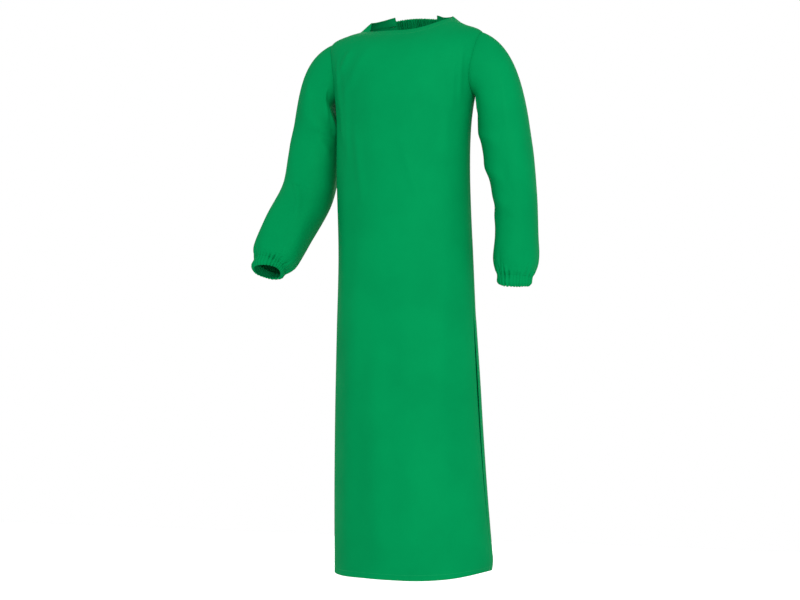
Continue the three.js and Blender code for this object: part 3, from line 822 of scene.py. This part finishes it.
def elastic_tape(name):
    """Woven white elastic: ribs along the tape, a little off-white."""
    s = Shader(name)
    uv = s.node("UVMap", {"uv_map": "cloth"})
    down = s.node("SeparateXYZ", {}, {0: uv}).sibling(1)
    ribs = (down * (2 * math.pi / ELASTIC_RIB)).sine()
    noise = s.node("TexNoise", {}, {"Vector": s.node("TexCoord", output="Object"), "Scale": 400.0})
    colour = s.node("Mix", {"data_type": "RGBA"},
                    {0: noise, 6: linear(236, 238, 232), 7: linear(214, 217, 208)}, output=2)
    bump = s.node("Bump", {}, {"Strength": 0.5, "Distance": 0.0003, "Height": ribs * 0.5 + noise})
    bsdf = s.node("BsdfPrincipled", {}, {"Base Color": colour, "Roughness": 0.8 + noise * 0.1,
                                         "Normal": bump})
    return s.finish(bsdf)


white_elastic = elastic_tape("white_elastic")
for word in SIDES:
    points = cuff_points(word)
    tunnel = wall(f"cuff_tunnel_{word}", points, closed=True)
    hung(tunnel, f"forearm_{word}", [f"cuff_casing_{word}"])
    points = ring_points(word, 0.12, 0.82)
    ring = wall(f"cuff_elastic_ring_{word}", points, 0.0008, closed=True, material=white_elastic)
    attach(ring, f"forearm_{word}")
    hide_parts(f"cuff_elastic_{word}")

# %% [markdown]
# ## Neck strap
# A flat tube of the same cloth is pushed together over a short elastic tape, so that it stands in
# narrow upright gathers. One end is sewn outside the left flap's corner. The other end lies outside
# the right corner, where a press stud holds it.

# %% Gathered strap and the tape inside it
STRAP_END, STRAP_HEIGHT, STRAP_THICK = 0.062, 0.0235, 0.0040
STRAP_DROP = 0.0147  # middle of the strap below the neckline
STRAP_GATHER = 0.0048  # one gather
BACK_FALL = 0.029  # drop of the back from the neckline to the next ring


def back_place(x, t):
    """Point of the back surface that has this x, and the normal there, away from the wearer."""
    h = 1e-4
    p = torso(back_angle(x, t), t)
    du = torso(back_angle(x + h, t), t) - torso(back_angle(x - h, t), t)
    dv = torso(back_angle(x, t + 10 * h), t + 10 * h) - torso(back_angle(x, t - 10 * h), t - 10 * h)
    n = unit(np.cross(du, dv))
    return p, n * np.sign(n[..., 1:2])


def strap_out(x):
    """Middle of the strap over the back surface: sewn close at one end, on a stud at the other."""
    return 0.0032 + 0.0052 * smooth(-x, -NECK_GAP, NECK_GAP)


def strap_place(x, up, out):
    """Point of the strap, so far above its middle line and so far out. It arches between its ends
    by up to 6 mm, as the square of the distance from the centre falls."""
    p, n = back_place(x, (STRAP_DROP - up) / BACK_FALL)
    arch = 0.002 + 0.004 * np.clip(1 - (x / 0.055) ** 2, 0, 1)
    return p + n * (strap_out(x) + out)[..., None] + np.array((0, 0, 1)) * arch[..., None]


def strap_points(lengths_=460, around=48):
    """Rounded flat section, its two faces thrown into gathers that wander a little as they go
    down."""
    turn, x = np.meshgrid(np.arange(around) / around, np.linspace(STRAP_END, -STRAP_END, lengths_))
    angle = 2 * math.pi * turn
    c, s = np.cos(angle), np.sin(angle)
    flat = lambda v: np.sign(v) * np.abs(v) ** 0.35
    up, out = STRAP_HEIGHT / 2 * flat(c), STRAP_THICK / 2 * flat(s)
    fade = smooth(STRAP_END - np.abs(x), 0.006, 0.016)
    wander = 2 * math.pi * x / STRAP_GATHER + 0.9 * np.sin(x * 310) + 0.5 * np.sin(x * 710 + 1)
    face = np.cos(wander + 0.5 * np.sin(up * 260 + x * 120) + np.where(s > 0, 0.6, 0))
    uneven = 0.75 + 0.25 * np.sin(x * 163 + 0.5)
    out = out + np.sign(s) * np.abs(s) ** 0.5 * face * 0.0018 * fade * uneven
    up = up + np.sign(c) * np.abs(c) ** 2 * np.cos(wander) * 0.0007 * fade * uneven
    return strap_place(x, up, out)


STRAP_CLOTH = 0.0006  # thickness of the strap's cloth, and of its elastic
strap_body = "flap_left"
points = strap_points()
strap = wall("neck_strap", points, STRAP_CLOTH, closed=True)
hung(strap, strap_body, ["neck_strap_casing"])
up, x = np.meshgrid(np.linspace(-0.0055, 0.0055, 8), np.linspace(0.060, -0.060, 90))
tape = wall("neck_strap_tape", strap_place(x, up, 0 * x), STRAP_CLOTH, material=white_elastic)
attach(tape, strap_body)
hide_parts("neck_strap_elastic")

# %% [markdown]
# ## Press studs
# A press stud is two small turned parts. The outer one is a cap and a socket that are riveted
# through the outer flap. The inner one is a ball on a disc, riveted through the flap below, with a
# post behind it. Turning a profile about the stud's axis gives each of them exactly.

# %% Turned stud parts
def nickel(name):
    """Grey metal with a fine wear that changes its colour and roughness a little."""
    s = Shader(name)
    place = s.node("TexCoord", output="Object")
    wear = s.node("TexNoise", {}, {"Vector": place, "Scale": 700.0, "Detail": 4.0})
    colour = s.node("Mix", {"data_type": "RGBA"},
                    {0: wear, 6: (0.56, 0.56, 0.54, 1), 7: (0.44, 0.44, 0.43, 1)}, output=2)
    bump = s.node("Bump", {}, {"Strength": 0.15, "Distance": 0.0001, "Height": wear})
    bsdf = s.node("BsdfPrincipled", {}, {"Base Color": colour, "Roughness": 0.24 + wear * 0.2,
                                         "Normal": bump, "Metallic": 1.0})
    return s.finish(bsdf)


stud_nickel = nickel("stud_nickel")
SEGMENTS = 48
CAP = ((0, 1.35), (2.6, 1.3), (3.9, 1.1), (4.3, 0.9), (4.7, 0.95), (5.3, 1.0), (5.8, 0.75),
       (6.0, 0.4), (5.9, 0.1), (5.6, 0), (0, 0))
DISC = ((0, 0.0), (4.6, 0), (5.0, 0.15), (5.1, 0.4), (4.8, 0.6), (2.6, 0.7))


def turned(profile, place, normal, height):
    """Profile of (radius, height) in millimetres turned about the normal: points and quads."""
    r, h = np.array(profile, float).T * MM
    side_ = unit(np.cross(normal, (0, 0, 1.0)))
    other = np.cross(normal, side_)
    a = np.linspace(0, 2 * math.pi, SEGMENTS, endpoint=False)[None, :, None]
    p = (place + normal * (height + h)[:, None, None]
         + r[:, None, None] * (np.cos(a) * side_ + np.sin(a) * other))
    i, k = np.meshgrid(np.arange(len(r) - 1), np.arange(SEGMENTS), indexing="ij")
    i, k = i.ravel(), k.ravel()
    j = (k + 1) % SEGMENTS
    quads = np.stack([i * SEGMENTS + k, (i + 1) * SEGMENTS + k, (i + 1) * SEGMENTS + j,
                      i * SEGMENTS + j], 1)
    return p.reshape(-1, 3), quads


def stud_part(name, body, nodes, *pieces):
    """Turned pieces joined in one mesh, their poles merged and their normals turned out."""
    points_, quads_, count = [], [], 0
    for p, q in pieces:
        points_.append(p)
        quads_.append(q + count)
        count += len(p)
    obj = mesh_object(name, np.concatenate(points_), np.concatenate(quads_), stud_nickel)
    work = bmesh.new()
    work.from_mesh(obj.data)
    bmesh.ops.remove_doubles(work, verts=work.verts, dist=1e-7)
    bmesh.ops.recalc_face_normals(work, faces=work.faces)
    work.to_mesh(obj.data)
    work.free()
    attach(obj, body)
    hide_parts(*nodes)


def press_stud(number, x, t, outer_body, inner_body, outside, inside, below, under, at=None):
    """Both halves of a stud at x and ring step t of the back, or at a place and normal given as
    at. outside and inside are the outer layer's two faces over the back surface, and below and
    under the inner layer's, all in metres."""
    place, normal = at or back_place(np.array(x), np.array(t))
    depth = (inside - below) / MM
    socket = ((2.3, 0), (4.6, 0), (5.1, 0.3), (5.2, 0.9), (4.6, 1.3), (3.2, 1.4),
              (3.0, depth - 1.6), (2.3, depth - 1.6), (2.3, 0))
    ball = (*DISC, (1.7, 0.9), (1.6, 1.4), (2.0, 1.9), (1.8, 2.4), (0, 2.6))
    stud_part(f"stud_outer_{number}", outer_body, [f"stud_cap_{number}", f"stud_socket_{number}"],
              turned(CAP, place, normal, outside),
              turned(socket, place, normal, below + 1.6 * MM))
    stud_part(f"stud_inner_{number}", inner_body, [f"stud_ball_{number}", f"stud_post_{number}"],
              turned(ball, place, normal, below),
              turned([(r * 0.98, -h) for r, h in DISC] + [(0, -0.7)], place, normal, under))


HALF = CLOTH / 2
STUD_DROPS = (0.330, 0.520, 0.710)  # the studs down the back, below the neckline
for number, drop in enumerate(STUD_DROPS, 1):
    ts = np.linspace(5, 9, 800)
    t = ts[np.argmin(np.abs(torso(-math.pi / 2, ts)[:, 2] + drop))]
    press_stud(number, 0.0, t, "flap_right", "flap_left", HALF, -HALF - LAYER,
               -FLAP_LAYERS + HALF, -FLAP_LAYERS - HALF - LAYER)
place, normal = strap_stud
zero = np.array(0.0)
strap_middle = strap_place(np.array(place[0]), zero, zero)
strap_face = float(np.dot(strap_middle - place, normal))
press_stud(4, None, None, "flap_left", "flap_right", strap_face + STRAP_THICK / 2,
           strap_face - STRAP_THICK / 2, HALF, -HALF, at=strap_stud)
print("strap over the flap at its stud:", round(strap_face * 1000, 2), "mm")

# %% [markdown]
# ## Stitching
# The turned edges are sewn with one row of plain stitches, about three to the centimetre. Each
# stitch is a short piece of thread that dips into the cloth at both ends, so a row of them is one
# small shape repeated along a line. The front's rows ride with its body; the back panels' rows are
# made in place, as the panels are.

# %% Rows of thread
STITCH_PITCH, STITCH_LENGTH, THREAD = 0.0032, 0.0023, 0.00021


def thread_green(name):
    """Spun thread, a little lighter than the cloth here and there."""
    s = Shader(name)
    place = s.node("TexCoord", output="Object")
    fibre = s.node("TexNoise", {}, {"Vector": place, "Scale": 3000.0, "Detail": 2.0})
    colour = s.node("Mix", {"data_type": "RGBA"},
                    {0: fibre, 6: linear(0, 146, 84), 7: linear(12, 162, 96)}, output=2)
    bump = s.node("Bump", {}, {"Strength": 0.3, "Distance": 0.0001, "Height": fibre})
    bsdf = s.node("BsdfPrincipled", {}, {"Base Color": colour, "Roughness": 0.7 + fibre * 0.1,
                                         "Normal": bump})
    return s.finish(bsdf)


thread = thread_green("green_thread")
STITCH_S = np.array((-1, -0.72, 0, 0.72, 1.0))
STITCH_R = np.array((0.45, 0.85, 1, 0.85, 0.45))
SIDES6 = np.arange(6) * math.pi / 3
body_quads = [(i * 6 + k, i * 6 + (k + 1) % 6, (i + 1) * 6 + (k + 1) % 6, (i + 1) * 6 + k)
              for i in range(4) for k in range(6)]
STITCH_QUADS = np.array([*body_quads, (0, 3, 2, 1), (0, 5, 4, 3), (24, 25, 26, 27),
                         (24, 27, 28, 29)])


def stitch_row(line, out):
    """Stitches along a line of points whose normals are out: centres every pitch, each a ring of
    six points at five places along the thread, sunk at the ends by the square of the distance."""
    run = np.concatenate([[0], np.cumsum(np.linalg.norm(np.diff(line, axis=0), axis=1))])
    at = np.arange(STITCH_PITCH, run[-1] - STITCH_PITCH / 2, STITCH_PITCH)
    pick = lambda values: np.stack([np.interp(at, run, values[:, k]) for k in range(3)], 1)
    centre, normal = pick(line), unit(pick(out))
    along = unit(pick(np.gradient(line, axis=0)))
    across = unit(np.cross(normal, along))
    c, s = (f(SIDES6)[None, None, :, None] for f in (np.cos, np.sin))
    centre, normal, along, across = (v[:, None, None] for v in (centre, normal, along, across))
    reach, sink, radius = (v[None, :, None, None] for v in (
        STITCH_S * STITCH_LENGTH / 2, 0.0001 - 0.00035 * STITCH_S ** 2, THREAD * STITCH_R))
    ring = c * across + s * normal
    p = centre + along * reach + normal * sink + ring * radius
    quads = STITCH_QUADS[None] + 30 * np.arange(len(at))[:, None, None]
    return p.reshape(-1, 3), quads.reshape(-1, 4)


def sewn(name, rows, body=None, blend=None):
    """Rows of stitches on one panel as one mesh that rides with the given body, or, when blend is
    given, stays in place with its transform baked.
    """
    points_, quads_, count = [], [], 0
    for line, out in rows:
        p, q = stitch_row(line, out)
        points_.append(p)
        quads_.append(q + count)
        count += len(p)
    obj = mesh_object(name, np.concatenate(points_), np.concatenate(quads_), thread)
    if blend:
        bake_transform(obj)
    else:
        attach(obj, body)
    print(name, "stitches:", count // 30)


def grid_line(points_, rows, columns, closed=False):
    """Row or column of a panel's grid on its outer face, with the normals there."""
    n = normals_of(points_, closed)
    face = points_ + n * CLOTH / 2
    return face[rows, columns], n[rows, columns]


hem_row, neck_row = HEM_ROWS - 2, -NECK_ROWS + 2
sewn("stitches_front", [grid_line(front, hem_row, slice(None)),
                        grid_line(front, neck_row, slice(None))], "root")
for side, word in ((1, "left"), (-1, "right")):
    edge = -FACING_COLUMNS + 1 if side > 0 else FACING_COLUMNS - 2
    sewn(f"stitches_{word}", [grid_line(backs[word], hem_row, slice(None)),
                              grid_line(backs[word], neck_row, slice(None)),
                              grid_line(backs[word], slice(HEM_ROWS, -NECK_ROWS), edge)],
         blend=swing_of(word, side))

# %% [markdown]
# ## The stage
# A pale floor under the hem and an even white surround, with one large soft light in front and
# one behind, as in a studio where a garment is shown for a catalogue.

# %% Floor, surround and soft lights
FLOOR_DROP = 0.30  # floor under the hem


def plain(name, colour):
    """One dull colour."""
    s = Shader(name)
    return s.finish(s.node("BsdfPrincipled", {}, {"Base Color": colour, "Roughness": 0.9}))


floor_z = cad_box[0][2] - FLOOR_DROP
corners = np.array(((-3, -3, floor_z), (3, -3, floor_z), (3, 3, floor_z), (-3, 3, floor_z)), float)
floor = mesh_object("floor", corners, np.array([[0, 1, 2, 3]]),
                    plain("pale_floor", (0.9, 0.9, 0.9, 1)))

world = bpy.data.worlds.new("white_surround")
world.use_nodes = True
world.node_tree.nodes["Background"].inputs["Color"].default_value = (1, 1, 1, 1)
world.node_tree.nodes["Background"].inputs["Strength"].default_value = 1.0
bpy.context.scene.world = world


LIGHT_AIM = np.array((0, 0, -0.6))


def soft_light(name, place, size, power):
    """Square area light, turned so that it looks at the middle of the gown."""
    light = bpy.data.objects.new(name, bpy.data.lights.new(name, "AREA"))
    light.data.size = size
    light.data.energy = power
    light.location = place
    bpy.context.scene.collection.objects.link(light)
    toward = LIGHT_AIM - np.array(place)
    light.rotation_euler = (math.acos(-toward[2] / np.linalg.norm(toward)), 0,
                            math.atan2(toward[1], toward[0]) - math.pi / 2)


soft_light("key", (1.6, -3.1, 0.5), 2.6, 80)
soft_light("back_fill", (-0.6, 3.5, 0.5), 2.6, 70)
bpy.context.scene.view_settings.view_transform = "Standard"
print("stage ready, floor at", round(floor_z, 3))
